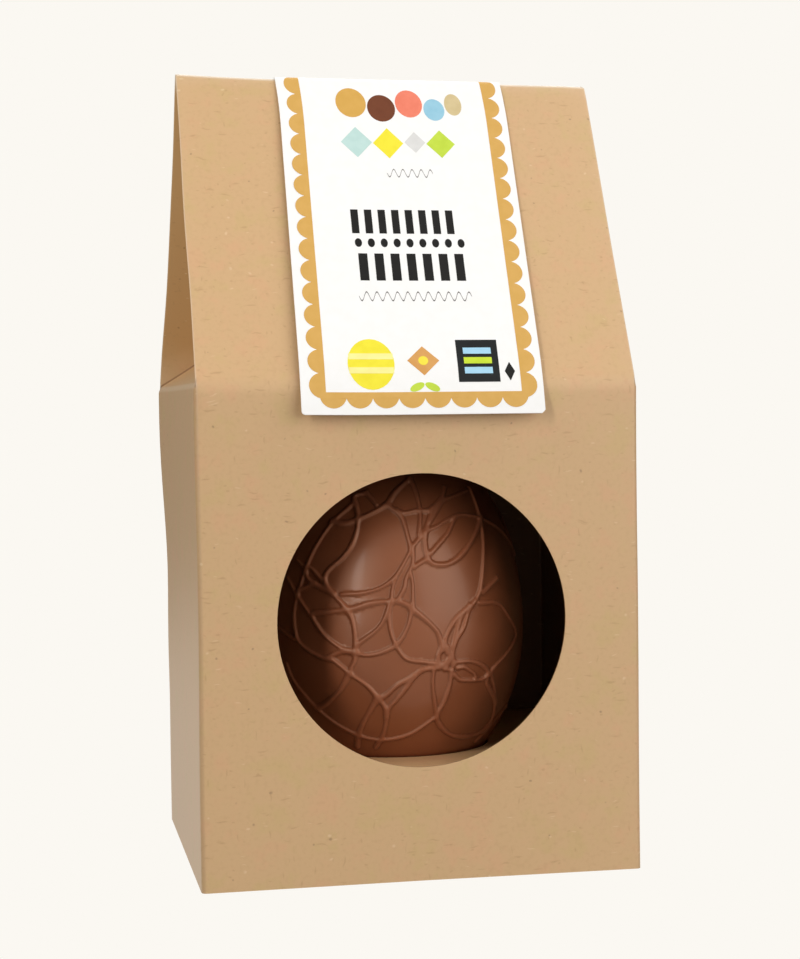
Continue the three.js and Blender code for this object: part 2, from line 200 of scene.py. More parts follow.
# Label: a strip of card folded over the ridge. It is laid out flat, with X across it and Y up to the fold
# and over it.
LABEL_WIDTH = 60.3 * MM
LABEL_LENGTH = 100.5 * MM        # on each side of the ridge
LABEL_CARD = 0.4 * MM
LABEL_GAP = 0.15 * MM            # between the card and the ridge
LABEL_SPREAD = math.radians(0.6)    # how much wider than the slopes its legs stand
LABEL_SKEW = math.radians(1)
LABEL_X = 2 * MM
LABEL_LEAN = LEAN + LABEL_SPREAD
LABEL_BEND = RIDGE_RADIUS + LABEL_GAP + LABEL_CARD / 2    # radius of the card's middle at the fold
LABEL_ARC = LABEL_BEND * (math.pi / 2 - LABEL_LEAN)       # card from the fold's top to a straight leg
LABEL_CURL = math.radians(15)    # how far each foot curls back towards the walls
CURL_START = 84 * MM             # from the ridge
LABEL_LIFT = 0.5 * MM            # how far the left-hand edge stands away from the carton
LIFT_START = 4 * MM              # across, from the label's middle
LIFT_RISE = 9 * MM               # how soon below the ridge
LABEL_DRIFT = 0.75 * MM          # how far the card is pulled aside at the ridge
DRIFT_REACH = 16 * MM
ROUNDED_CORNER = 0.9 * MM        # of the front foot on the left, rounded by handling
CLIPPED_CORNER = 0.8 * MM        # of the front foot on the right
BACK_CORNER = 0.6 * MM           # of the back foot on both sides
LABEL_GRID = 4 * MM              # spacing of the cuts across the card
INK = 0.03 * MM

# Scalloped border printed on the label.
SCALLOP = 6.45 * MM          # from cusp to cusp
SCALLOP_DEPTH = 2.55 * MM
CUSP_SIDE = 25.8 * MM        # from the border's middle to the line of cusps
CUSP_FOOT = 96.4 * MM        # and from the ridge to the lowest cusps
BAND = 1.5 * MM              # solid band inside the cusps
BORDER_X = 0.25 * MM         # from the label's middle to the border's
SCALLOP_POINTS = 12          # to each scallop


# -------------------------------------------------------------------------------------- modelling by hand

def fresh():
    """Leaves edit mode and deselects everything, before a new primitive is added."""
    if bpy.context.object and bpy.context.object.mode != "OBJECT":
        bpy.ops.object.mode_set(mode="OBJECT")
    bpy.ops.object.select_all(action="DESELECT")


def settle(name, stretch=(1, 1, 1)):
    """Names the active object, stretches it, and puts its place, turn and size into its mesh."""
    piece = bpy.context.object
    piece.name = piece.data.name = name
    piece.scale = stretch
    bpy.ops.object.transform_apply(location=True, rotation=True, scale=True)
    return piece


def only(piece):
    """Makes one piece the selected and active one."""
    fresh()
    piece.select_set(True)
    bpy.context.view_layer.objects.active = piece


def pick(kind, test):
    """In edit mode, selects only the VERT, EDGE or FACE elements that pass the test."""
    bpy.ops.mesh.select_mode(type=kind)
    bpy.ops.mesh.select_all(action="DESELECT")
    mesh = bmesh.from_edit_mesh(bpy.context.object.data)
    for item in {"VERT": mesh.verts, "EDGE": mesh.edges, "FACE": mesh.faces}[kind]:
        if test(item):
            item.select_set(True)
    mesh.select_flush_mode()
    bmesh.update_edit_mesh(bpy.context.object.data)


def finish_with(piece, kind, **settings):
    """Adds a modifier and applies it."""
    only(piece)
    modifier = piece.modifiers.new(kind.title(), kind)
    for setting, value in settings.items():
        setattr(modifier, setting, value)
    bpy.ops.object.modifier_apply(modifier=modifier.name)


def reshape(piece, move):
    """Moves every vertex of a finished mesh to where move, a function of its place, puts it."""
    for vertex in piece.data.vertices:
        vertex.co = move(vertex.co)
    piece.data.update()


def cut_across(axis, places):
    """In edit mode, cuts the whole mesh by planes square to an axis."""
    for place in places:
        point, normal = [0, 0, 0], [0, 0, 0]
        point[axis], normal[axis] = place, 1
        bpy.ops.mesh.select_all(action="SELECT")
        bpy.ops.mesh.bisect(plane_co=point, plane_no=normal)


def steps(low, high, spacing):
    """Even places between two ends, which are left out."""
    count = max(1, round((high - low) / spacing))
    return [low + (high - low) * i / count for i in range(1, count)]


# ---------------------------------------------------------------------------------------------- materials

def linear(colour):
    """An sRGB hex colour as linear red, green, blue and alpha."""
    parts = [int(colour[i:i + 2], 16) / 255 for i in (1, 3, 5)]
    return [part / 12.92 if part <= 0.04045 else ((part + 0.055) / 1.055) ** 2.4 for part in parts] + [1.0]


def add_node(tree, kind, inputs=None, **settings):
    """Adds a node, sets its settings, and sets or links its inputs."""
    node = tree.nodes.new(kind)
    for setting, value in settings.items():
        setattr(node, setting, value)
    for socket, value in (inputs or {}).items():
        if isinstance(value, bpy.types.NodeSocket):
            tree.links.new(value, node.inputs[socket])
        else:
            node.inputs[socket].default_value = value
    return node


def blank_material(name):
    material = bpy.data.materials.new(name)
    material.use_nodes = True
    material.node_tree.nodes.clear()
    return material, material.node_tree


def laid_over(tree, colour, tint, value, low=0.0, high=1.0, most=1.0, ease="SMOOTHSTEP"):
    """A colour with a tint over it, which shows more as a value goes from low to high, up to most."""
    colour, tint = (linear(part) if isinstance(part, str) else part for part in (colour, tint))
    amount = add_node(tree, "ShaderNodeMapRange", {
        "Value": value, "From Min": low, "From Max": high, "To Max": most}, interpolation_type=ease)
    return add_node(tree, "ShaderNodeMix", {
        0: amount.outputs[0], 6: colour, 7: tint}, data_type="RGBA").outputs[2]


def kraft_material(name, tan, rosy, olive, fibre):
    """Uncoated kraft board, pressed from brown pulp: near matt, with a faintly cloudy tone, short darker
    fibres, and a few specks of bark and of bleached pulp. Its fibres and its tooth are drawn coarser than
    they are, so that they show."""
    material, tree = blank_material(name)
    place = add_node(tree, "ShaderNodeTexCoord").outputs["Object"]
    height = add_node(tree, "ShaderNodeSeparateXYZ", {0: place}).outputs["Z"]
    mark = {}
    for kind in ("score_and_shade", "wear_and_highlight", "tucked", "inner_shade"):
        mark[kind] = add_node(tree, "ShaderNodeAttribute", attribute_name=kind).outputs["Fac"]
    cloud = add_node(tree, "ShaderNodeTexNoise", {
        "Vector": place, "Scale": 1 / (8 * MM), "Detail": 3.0, "Roughness": 0.6}).outputs["Fac"]
    mottle = add_node(tree, "ShaderNodeTexNoise", {
        "Vector": place, "Scale": 1 / (1.1 * MM), "Detail": 2.0}).outputs["Fac"]
    colour = laid_over(tree, tan, rosy, cloud, 0.52, 0.7)
    colour = laid_over(tree, colour, olive, cloud, 0.48, 0.3)
    colour = laid_over(tree, colour, fibre, mottle, 0.45, 0.8, 0.14)

    # painted shade: a tucked-in side is painted warmer and deeper for the shade in its valley, a little less
    # so further up
    shade = laid_over(tree, "#B68A56", "#BB915D", height, 135 * MM, 180 * MM)
    colour = laid_over(tree, colour, shade, mark["tucked"], ease="LINEAR")
    # painted shade: the inside of the walls is painted deeper
    colour = laid_over(tree, colour, "#8B6E4D", mark["inner_shade"], ease="LINEAR")
    # the upright folds are darker from their scoring, and the valleys of the tucked-in sides are painted
    # darker as painted shade
    colour = laid_over(tree, colour, "#6E4A2A", mark["score_and_shade"], most=0.75)
    # the ridge and the other rounded folds are painted paler, partly as wear and partly as a painted
    # highlight where the rounded fold catches the light
    colour = laid_over(tree, colour, "#E2D8C6", mark["wear_and_highlight"], most=0.85)

    # Fibres and specks sit at the middles of stretched cells, and a wandering offset tilts the fibres. Each
    # kind has its cell in millimetres, its tilt, its size in the cell, its colour, the share of the cells
    # that hold one, its strength, and a slide that keeps the kinds apart.
    wander = add_node(tree, "ShaderNodeTexNoise", {"Vector": place, "Scale": 1 / (3.5 * MM), "Detail": 1.0})
    turned = add_node(tree, "ShaderNodeVectorMath", {0: wander.outputs["Color"], 1: (0.5, 0.5, 0.5)},
                      operation="SUBTRACT").outputs[0]
    for cell, bend, size, tint, share, strength, slide in (
            ((9.0, 3.0, 1.5), (0.3, 0.3, 1.3), 0.2, fibre, 0.7, 0.32, 0.0),
            ((3.0, 9.0, 1.5), (0.3, 0.3, 1.3), 0.2, fibre, 0.4, 0.28, 3.1),
            ((1.5, 1.5, 8.0), (1.1, 1.1, 0.3), 0.2, fibre, 0.3, 0.28, 5.7),
            ((5.5, 3.0, 1.0), (0.6, 0.6, 2.0), 0.18, "#E6CFAA", 0.25, 0.28, 9.3),
            ((4.6, 4.6, 4.0), (0.5, 0.5, 0.5), 0.11, "#5A4128", 0.3, 0.42, 4.3),
            ((5.0, 5.0, 4.0), (0.5, 0.5, 0.5), 0.12, "#E6D0AC", 0.3, 0.32, 7.9)):
        stretch = add_node(tree, "ShaderNodeMapping", {
            "Vector": place, "Location": [slide] * 3, "Scale": [1 / (side * MM) for side in cell]})
        bent = add_node(tree, "ShaderNodeVectorMath", {0: turned, 1: bend, 2: stretch.outputs[0]},
                        operation="MULTIPLY_ADD").outputs[0]
        cells = add_node(tree, "ShaderNodeTexVoronoi", {"Vector": bent, "Scale": 1.0}).outputs
        chosen = add_node(tree, "ShaderNodeSeparateColor", {0: cells["Color"]}).outputs[0]
        kept = add_node(tree, "ShaderNodeMath", {0: chosen, 1: share}, operation="LESS_THAN").outputs[0]
        most = add_node(tree, "ShaderNodeMath", {0: kept, 1: strength}, operation="MULTIPLY").outputs[0]
        colour = laid_over(tree, colour, tint, cells["Distance"], size, 0.3 * size, most)

    dull = add_node(tree, "ShaderNodeMapRange", {"Value": mark["tucked"], "To Min": 0.42, "To Max": 0.8},
                    interpolation_type="SMOOTHSTEP").outputs[0]
    tooth = add_node(tree, "ShaderNodeTexNoise", {
        "Vector": place, "Scale": 1 / (0.8 * MM), "Detail": 4.0, "Roughness": 0.7}).outputs["Fac"]
    bump = add_node(tree, "ShaderNodeBump", {"Height": tooth, "Strength": 0.2, "Distance": 0.05 * MM})
    shader = add_node(tree, "ShaderNodeBsdfPrincipled", {
        "Base Color": colour, "Roughness": dull, "IOR": 1.45, "Normal": bump.outputs[0]})
    add_node(tree, "ShaderNodeOutputMaterial", {"Surface": shader.outputs[0]})
    return material


def chocolate_material():
    """Milk chocolate, moulded and then drizzled: the shell set against a polished mould and has a satin
    gloss, while the drizzle set in air, paler and a little duller. A dark line of painted shade runs along
    each strand's foot."""
    material, tree = blank_material("milk_chocolate_satin")
    place = add_node(tree, "ShaderNodeTexCoord").outputs["Object"]
    mark = {}
    for kind in ("drizzle", "crease", "bare_shell"):
        mark[kind] = add_node(tree, "ShaderNodeAttribute", attribute_name=kind).outputs["Fac"]
    cloud = add_node(tree, "ShaderNodeTexNoise", {
        "Vector": place, "Scale": 1 / (14 * MM), "Detail": 2.0}).outputs["Fac"]
    colour = laid_over(tree, "#7E462A", "#844B2F", cloud, 0.3, 0.7)
    colour = laid_over(tree, colour, "#8E543A", mark["drizzle"], most=0.6)
    # painted shade: a dark line along each strand's foot
    colour = laid_over(tree, colour, "#3A1B0F", mark["crease"], most=0.28)
    polish = add_node(tree, "ShaderNodeMapRange", {"Value": mark["bare_shell"], "To Max": 0.1},
                      interpolation_type="SMOOTHSTEP").outputs[0]
    grain = add_node(tree, "ShaderNodeTexNoise", {
        "Vector": place, "Scale": 1 / (1.2 * MM), "Detail": 3.0}).outputs["Fac"]
    bump = add_node(tree, "ShaderNodeBump", {"Height": grain, "Strength": 0.12, "Distance": 0.05 * MM})
    shader = add_node(tree, "ShaderNodeBsdfPrincipled", {
        "Base Color": colour, "Roughness": 0.4, "IOR": 1.5, "Specular Tint": linear("#FFE2C8"),
        "Coat Weight": polish, "Coat Roughness": 0.14, "Subsurface Weight": 0.12,
        "Subsurface Radius": (1.0, 0.45, 0.25), "Subsurface Scale": 1.2 * MM, "Normal": bump.outputs[0]})
    add_node(tree, "ShaderNodeOutputMaterial", {"Surface": shader.outputs[0]})
    return material


def card_material(name, colour, deeper):
    """Smooth uncoated white card, or matt ink on it: hardly any gloss, and the card's faint cloudiness and
    tooth. The tooth is drawn coarser than it is, so that it shows."""
    material, tree = blank_material(name)
    place = add_node(tree, "ShaderNodeTexCoord").outputs["Object"]
    cloud = add_node(tree, "ShaderNodeTexNoise", {
        "Vector": place, "Scale": 1 / (3 * MM), "Detail": 4.0}).outputs["Fac"]
    tone = laid_over(tree, colour, deeper, cloud, 0.3, 0.7)
    tooth = add_node(tree, "ShaderNodeTexNoise", {
        "Vector": place, "Scale": 1 / (0.5 * MM), "Detail": 2.0}).outputs["Fac"]
    bump = add_node(tree, "ShaderNodeBump", {"Height": tooth, "Strength": 0.15, "Distance": 0.02 * MM})
    shader = add_node(tree, "ShaderNodeBsdfPrincipled", {
        "Base Color": tone, "Roughness": 0.55, "IOR": 1.45, "Specular IOR Level": 0.2,
        "Normal": bump.outputs[0]})
    add_node(tree, "ShaderNodeOutputMaterial", {"Surface": shader.outputs[0]})
    return material


def dress(piece, material, slot, *nodes):
    """Gives a finished piece its material and ties it to the model."""
    piece.data.materials.clear()
    piece.data.materials.append(material)
    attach(piece, "root")
    if nodes:
        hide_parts(*nodes)


# ------------------------------------------------------------------------------------------------- carton

def valley_tip(side):
    """The deepest point of a tucked-in side, from the board keeping its lengths."""
    half, climb = DEPTH / 2, APEX - SHOULDER
    spare = math.hypot(half, climb) - half
    rise = (climb ** 2 - spare ** 2) / (2 * climb)
    return Vector((side * (WIDTH / 2 - math.sqrt(half ** 2 - rise ** 2)), 0, SHOULDER + rise))


def fold_share(edge):
    """How far an edge of the sharp carton is eased, as a share of the widest ease."""
    a, b = (vertex.co for vertex in edge.verts)
    near = 0.1 * MM
    on_end = [abs(abs(p.x) - WIDTH / 2) < near for p in (a, b)]
    if not all(on_end):
        return TUCK_FOLD / RIDGE_FOLD
    if abs(a.x - b.x) > near:
        if min(a.z, b.z) > APEX - near:
            return 1.0
        return SHOULDER_FOLD / RIDGE_FOLD if min(a.z, b.z) > SHOULDER - near else 0.0
    if max(a.z, b.z) > APEX - near:
        return RIM_FOLD / RIDGE_FOLD
    if abs(a.y - b.y) > near:
        return SIDE_FOLD / RIDGE_FOLD if min(a.z, b.z) > SHOULDER - near else 0.0
    return UPRIGHT_FOLD / RIDGE_FOLD


def bow(z, bows):
    """How far some bows together stand out at a height."""
    total = 0
    for amount, middle, below, above in bows:
        total += amount * math.exp(-abs((z - middle) / (above if z > middle else below)) ** 2.5)
    return total


def bowed(point):
    """The board's small bows: its corners and ends stand out a little, each by its own amount."""
    x, y, z = point
    side, face = x / (WIDTH / 2), y / (DEPTH / 2)
    # the carton's depth here, as a share of its depth at the walls
    depth = min(1, max(0.03, (APEX - z) / (APEX - SHOULDER)))
    left, right = max(0, -side) ** 3, max(0, side) ** 3
    behind, before = (max(0, min(1, way * face / depth)) ** 2 for way in (1, -1))
    ripple = LEFT_RIPPLE * math.sin(z / (17 * MM) + 1.1) * math.sin(math.pi * min(z, RIDGE) / RIDGE)
    foot = max(0, 1 - z / FOOT_HEIGHT) ** 2
    x -= left * (bow(z, LEFT_BOWS) + behind * bow(z, LEFT_BACK_BOWS) + ripple)
    x += right * (RIGHT_OUT + bow(z, RIGHT_BOWS) - FOOT_INWARD * foot)
    y -= FOOT_FORWARD * foot * max(0, side) * before
    wave = math.sin(x / (21 * MM) + 0.6) * math.sin(z / (27 * MM) + 0.4)
    y += face ** 3 * FACE_RIPPLE * wave * min(1.0, z / FACE_RIPPLE_START)
    if z > SHOULDER and x < -RISE_START:
        height = (z - SHOULDER) / (RIDGE - SHOULDER)
        z += RIDGE_RISE * height ** 3 * ((-x - RISE_START) / (WIDTH / 2 - RISE_START)) ** 1.6
    return Vector((x, y, z))


def kept_round(point):
    """Presses the ridge's ends into line with its round, where the folds of the sides meet it."""
    x, y, z = point
    above = z - RIDGE_CENTRE
    reach = math.hypot(y, above)
    if above > abs(y) * math.tan(LEAN) and reach > RIDGE_RADIUS:
        y, above = y * RIDGE_RADIUS / reach, above * RIDGE_RADIUS / reach
    # the right-hand corner is rubbed round
    past = max(0, x - (WIDTH / 2 - CORNER_RADIUS))
    if z > RIDGE_CENTRE:
        above -= CORNER_RADIUS - math.sqrt(max(0, CORNER_RADIUS ** 2 - past ** 2))
    return Vector((x, y, RIDGE_CENTRE + above))


def mark_folds(carton, folds):
    """Writes how near each vertex is to a fold that is painted darker, from its scoring and, in the valleys
    of the tucked-in sides, as painted shade, and to one that is painted paler, partly from wear and partly
    as a painted highlight, how deep it lies in a tucked-in side, and whether it is on the inside of the
    walls, which is painted deeper as painted shade."""
    places = np.array([vertex.co for vertex in carton.data.vertices])
    inside = (APEX - places[:, 2]) * math.sin(LEAN) - np.abs(places[:, 1]) * math.cos(LEAN)
    tucked = np.clip((inside - TUCK_EDGE) / TUCK_REACH, 0, 1)
    tucked *= np.clip((places[:, 2] - SHOULDER) / TUCK_RISE, 0, 1)
    inner_shade = places[:, 2] < SHOULDER - SHOULDER_FOLD
    for axis, size in ((0, WIDTH), (1, DEPTH)):
        inner_shade &= np.abs(places[:, axis]) < size / 2 - INNER_SHADE_DEPTH
    marks = {"score_and_shade": np.zeros(len(places)), "wear_and_highlight": np.zeros(len(places)), "tucked": tucked,
             "inner_shade": inner_shade.astype(float)}
    for start, end, reach, mark, strength in folds:
        start, along = np.array(start), np.array(end) - np.array(start)
        share = np.clip((places - start) @ along / (along @ along), 0, 1)
        gap = np.linalg.norm(places - start - share[:, None] * along, axis=1)
        marks[mark] = np.maximum(marks[mark], strength * np.clip((reach - gap) / (MARK_FADE * reach), 0, 1))
    for mark, values in marks.items():
        carton.data.attributes.new(mark, "FLOAT", "POINT").data.foreach_set("value", values)


def build_carton():
    fresh()
    bpy.ops.mesh.primitive_cube_add(size=1, location=(0, 0, SHOULDER / 2))
    carton = settle("carton_board", (WIDTH, DEPTH, SHOULDER))
    bpy.ops.object.mode_set(mode="EDIT")
    # the top is drawn up and pinched into a ridge
    pick("FACE", lambda face: face.normal.z > 0.9)
    bpy.ops.mesh.extrude_region_move(TRANSFORM_OT_translate={"value": (0, 0, APEX - SHOULDER)})
    bpy.ops.transform.resize(value=(1, 0, 1), center_override=(0, 0, APEX))
    bpy.ops.mesh.select_all(action="SELECT")
    bpy.ops.mesh.remove_doubles(threshold=TOUCH)
    # the sides are poked and pushed in
    for side in (-1, 1):
        pick("FACE", lambda face: face.normal.x * side > 0.9 and face.calc_center_median().z > SHOULDER)
        bpy.ops.mesh.poke()
        pick("VERT", lambda vertex: vertex.co.x * side > WIDTH / 2 - MM and abs(vertex.co.y) < MM
             and SHOULDER + MM < vertex.co.z < APEX - MM)
        poked = next(vertex for vertex in bmesh.from_edit_mesh(carton.data).verts if vertex.select)
        bpy.ops.transform.translate(value=valley_tip(side) - poked.co)
    # the bottom is left open, for its flaps lie between the walls
    pick("FACE", lambda face: face.normal.z < -0.9)
    bpy.ops.mesh.delete(type="FACE")
    mesh = bmesh.from_edit_mesh(carton.data)
    layers = mesh.edges.layers.float
    ease = layers.get("bevel_weight_edge") or layers.new("bevel_weight_edge")
    folds = []
    for edge in mesh.edges:
        edge[ease] = fold_share(edge)
        reach = edge[ease] * RIDGE_FOLD
        if reach > 0:
            mark, strength = FOLD_MARKS[min(FOLD_MARKS, key=lambda fold: abs(fold - reach))]
            start, end = (vertex.co.copy() for vertex in edge.verts)
            folds.append((start, end, MARK_REACH * reach, mark, strength))
    bmesh.update_edit_mesh(carton.data)
    finish_with(carton, "BEVEL", width=RIDGE_FOLD, segments=FOLD_SEGMENTS, limit_method="WEIGHT",
                use_clamp_overlap=False, miter_outer="MITER_SHARP")
    bpy.ops.object.mode_set(mode="EDIT")
    for axis, low, high in ((0, -WIDTH / 2, WIDTH / 2), (1, -DEPTH / 2, DEPTH / 2), (2, 0, RIDGE)):
        cut_across(axis, steps(low, high, BOARD_GRID))
    finish_with(carton, "SOLIDIFY", thickness=BOARD, offset=-1, use_even_offset=True)
    # the round window is cut through the front wall
    fresh()
    bpy.ops.mesh.primitive_cylinder_add(
        vertices=128, radius=WINDOW_DIAMETER / 2, depth=WINDOW_CUT,
        location=(0, -DEPTH / 2, WINDOW_HEIGHT), rotation=(math.pi / 2, 0, 0))
    cutter = settle("window_cutter")
    finish_with(carton, "BOOLEAN", operation="DIFFERENCE", object=cutter, solver="EXACT")
    bpy.data.objects.remove(cutter)
    mark_folds(carton, folds)
    reshape(carton, kept_round)
    reshape(carton, bowed)
    only(carton)
    bpy.ops.object.shade_smooth_by_angle(angle=math.radians(40))
    finish_with(carton, "WEIGHTED_NORMAL", mode="FACE_AREA", weight=50, keep_sharp=True)
    return carton


# ---------------------------------------------------------------------------------------------------- egg

def egg_reach(height):
    """The long half axis of whichever half ellipse a height is on."""
    return np.where(height > EGG_WIDEST, EGG_UPPER, EGG_LOWER)


def on_egg(degrees, height):
    """Places on the shell, given degrees round from the front and heights in metres."""
    radius = EGG_DIAMETER / 2 * np.sqrt(np.clip(1 - ((height - EGG_WIDEST) / egg_reach(height)) ** 2, 0, 1))
    turn = np.radians(degrees)
    return np.stack([EGG_X + radius * np.sin(turn), -radius * np.cos(turn), height], axis=-1)


def curve_through(stops, count):
    """Points along a centripetal Catmull-Rom curve, count of them for each span."""
    stops = np.array(stops, float)
    stops = np.vstack([2 * stops[0] - stops[1], stops, 2 * stops[-1] - stops[-2]])
    points = []
    for a, b, c, d in zip(stops, stops[1:], stops[2:], stops[3:]):
        before, here, after = (math.sqrt(np.linalg.norm(q - p)) for p, q in ((a, b), (b, c), (c, d)))
        leave = here * ((b - a) / before - (c - a) / (before + here) + (c - b) / here)
        arrive = here * ((c - b) / here - (d - b) / (here + after) + (d - c) / after)
        for i in range(count):
            t = i / count
            points.append(b + leave * t + (3 * (c - b) - 2 * leave - arrive) * t ** 2
                          + (2 * (b - c) + leave + arrive) * t ** 3)
    points.append(stops[-2])
    return np.array(points)


def wandering_strands():
    """Routes for the top, the back and the sides: a strand strides on and turns a little at every step."""
    state = SEED

    def draw():
        nonlocal state
        state = state * 16807 % 2147483647
        return state / 2147483647

    strands = []
    for _ in range(WANDERING_STRANDS):
        degrees, height = (low + (high - low) * draw() for low, high in WANDERING_START)
        heading, bend = 2 * math.pi * draw(), WANDERING_TURN * (draw() - 0.5)
        route = []
        for _ in range(WANDERING_POINTS):
            route.append((degrees, height))
            heading += bend + WANDERING_TURN * (draw() - 0.5)
            place = on_egg(0.0, np.array(height * MM))
            radius = max(WANDERING_AXIS, -place[1] / MM)
            degrees += math.degrees(WANDERING_STRIDE * math.cos(heading) / radius)
            height += WANDERING_STRIDE * math.sin(heading)
            degrees = min(max(degrees, WANDERING_SIDES[0]), WANDERING_SIDES[1])
            height = min(max(height, WANDERING_FOOT), WANDERING_TOP)
        strands.append(route)
    return strands


def strand_lines():
    """Each strand as closely spaced points on the shell, with its half width at each."""
    draw = random.Random(SEED)
    lines = []
    for route in FRONT_STRANDS + wandering_strands():
        stops = [(degrees, max(height, STRAND_LOWEST)) for degrees, height in route]
        path = curve_through(stops, SPAN_POINTS)
        points = on_egg(path[:, 0], path[:, 1] * MM)
        length = np.concatenate([[0], np.cumsum(np.linalg.norm(np.diff(points, axis=0), axis=1))])
        even = np.arange(0, length[-1], STRAND_SAMPLE)
        points = np.stack([np.interp(even, length, points[:, i]) for i in range(3)], axis=-1)
        swell = SWELL * np.sin(2 * math.pi * (even / draw.uniform(*SWELL_LENGTH) + draw.random()))
        lines.append((points, draw.uniform(*STRAND_REACH) * (1 + swell)))
    return lines


def pull(places, lines):
    """How strongly the strands pull at each place: 1 on the line of a strand, more where they cross."""
    fall = -math.log(STRAND_FOOT)
    total = np.zeros(len(places))
    for line, reach in lines:
        margin = PULL_END * reach.max()
        near = (places > line.min(0) - margin) & (places < line.max(0) + margin)
        near = np.all(near, axis=1).nonzero()[0]
        for part in np.array_split(near, max(1, len(near) * len(line) // PULL_BATCH)):
            if len(part):
                gap = ((places[part, None, :] - line[None, :, :]) ** 2).sum(2)
                nearest = gap.argmin(1)
                total[part] += np.exp(-fall * gap[np.arange(len(part)), nearest] / reach[nearest] ** 2)
    return total


def build_egg():
    fresh()
    middle, radius = (EGG_X, 0, EGG_WIDEST), EGG_DIAMETER / 2
    bpy.ops.mesh.primitive_uv_sphere_add(segments=EGG_SEGMENTS, ring_count=EGG_RINGS, radius=radius,
                                         location=middle)
    egg = settle("drizzled_egg")
    bpy.ops.object.mode_set(mode="EDIT")
    for side, reach in ((1, EGG_UPPER), (-1, EGG_LOWER)):
        pick("VERT", lambda vertex: (vertex.co.z - EGG_WIDEST) * side > 0.1 * MM)
        bpy.ops.transform.resize(value=(1, 1, reach / radius), center_override=middle)
    # the shell is divided finely along the strands only
    lines = strand_lines()
    nearest = KDTree(sum(len(line) for line, _ in lines))
    for i, point in enumerate(point for line, _ in lines for point in line):
        nearest.insert(point, i)
    nearest.balance()
    for reach, turn in SHELL_DIVISIONS:
        shown = -radius * math.cos(math.radians(turn))
        pick("FACE", lambda face: face.calc_center_median().y <= shown
             and nearest.find(face.calc_center_median())[2] < reach)
        bpy.ops.mesh.subdivide(number_cuts=1)
    fresh()
    places = np.empty(len(egg.data.vertices) * 3)
    egg.data.vertices.foreach_get("co", places)
    places = places.reshape(-1, 3)
    # new vertices are drawn out to the shell's true curve, and the strands swell it
    centre = np.array(middle)
    radii = np.stack([np.full(len(places), radius)] * 2 + [egg_reach(places[:, 2])], axis=1)
    scaled = (places - centre) / radii
    places = centre + (places - centre) / np.linalg.norm(scaled, axis=1, keepdims=True)
    outward = (places - centre) / radii ** 2
    outward /= np.linalg.norm(outward, axis=1, keepdims=True)
    strength = pull(places, lines)
    bead = np.sqrt(np.clip((strength - STRAND_FOOT) / (1 - STRAND_FOOT), 0, 1))
    bead += PILE_UP * np.clip(strength - 1, 0, 1.5)
    places += outward * (STRAND_HEIGHT * bead)[:, None]
    egg.data.vertices.foreach_set("co", places.ravel())
    # painted shade darkens a narrow band just outside each strand's foot, and further out the shell is bare
    crease = np.exp(-((strength - 0.8 * STRAND_FOOT) / (0.4 * STRAND_FOOT)) ** 2)
    bare = np.clip(1 - strength / (0.5 * STRAND_FOOT), 0, 1)
    for mark, values in (("drizzle", np.clip(bead, 0, 1)), ("crease", crease), ("bare_shell", bare)):
        egg.data.attributes.new(mark, "FLOAT", "POINT").data.foreach_set("value", values)
    egg.data.update()
    only(egg)
    bpy.ops.object.shade_smooth()
    return egg


# -------------------------------------------------------------------------------------------------- label

def on_label(flat):
    """Wraps a point of the flat label round the ridge. X is across, Y runs from the front foot up to the
    ridge at 0 and on to the back foot, and Z is the height over the card's outer face."""
    side = 1 if flat.y > 0 else -1
    run, radius = abs(flat.y), LABEL_BEND + LABEL_CARD / 2 + flat.z
    if run < LABEL_ARC:
        turn = run / LABEL_BEND
        out, height = radius * math.sin(turn), RIDGE_CENTRE + radius * math.cos(turn)
    else:
        straight, curl = min(run, CURL_START) - LABEL_ARC, max(0, run - CURL_START)
        out = radius * math.cos(LABEL_LEAN) + straight * math.sin(LABEL_LEAN)
        height = RIDGE_CENTRE + radius * math.sin(LABEL_LEAN) - straight * math.cos(LABEL_LEAN)
        bend = LABEL_CURL * curl / (LABEL_LENGTH - CURL_START)
        out += curl * math.sin(LABEL_LEAN - bend / 2)
        height -= curl * math.cos(LABEL_LEAN - bend / 2)
        aside = max(0, -flat.x - LIFT_START) / (LABEL_WIDTH / 2 - LIFT_START)
        lift = LABEL_LIFT * aside ** 2 * (1 - math.exp(-(run - LABEL_ARC) / LIFT_RISE))
        out += lift * math.cos(LABEL_LEAN)
        height += lift * math.sin(LABEL_LEAN)
    y = side * out
    drift = LABEL_DRIFT * max(0, 1 - run / DRIFT_REACH) ** 2
    return Vector((LABEL_X + flat.x - drift + y / math.sin(LABEL_LEAN) * math.tan(LABEL_SKEW), y, height))


def bend_over_ridge(piece, thickness, offset):
    """Cuts a flat piece where the card bends, wraps it over the ridge and gives it its thickness."""
    only(piece)
    bpy.ops.object.mode_set(mode="EDIT")
    curls = steps(CURL_START, LABEL_LENGTH, (LABEL_LENGTH - CURL_START) / 5)
    drifts = steps(LABEL_ARC, DRIFT_REACH, DRIFT_REACH / 6)
    places = [CURL_START, *curls, DRIFT_REACH, *drifts]
    cut_across(1, [LABEL_ARC * i / 5 for i in range(-5, 6)] + places + [-place for place in places])
    cut_across(0, steps(-LABEL_WIDTH / 2, LABEL_WIDTH / 2, LABEL_GRID))
    fresh()
    reshape(piece, on_label)
    finish_with(piece, "SOLIDIFY", thickness=thickness, offset=offset, use_even_offset=True)
    only(piece)
    bpy.ops.object.shade_smooth_by_angle(angle=math.radians(35))


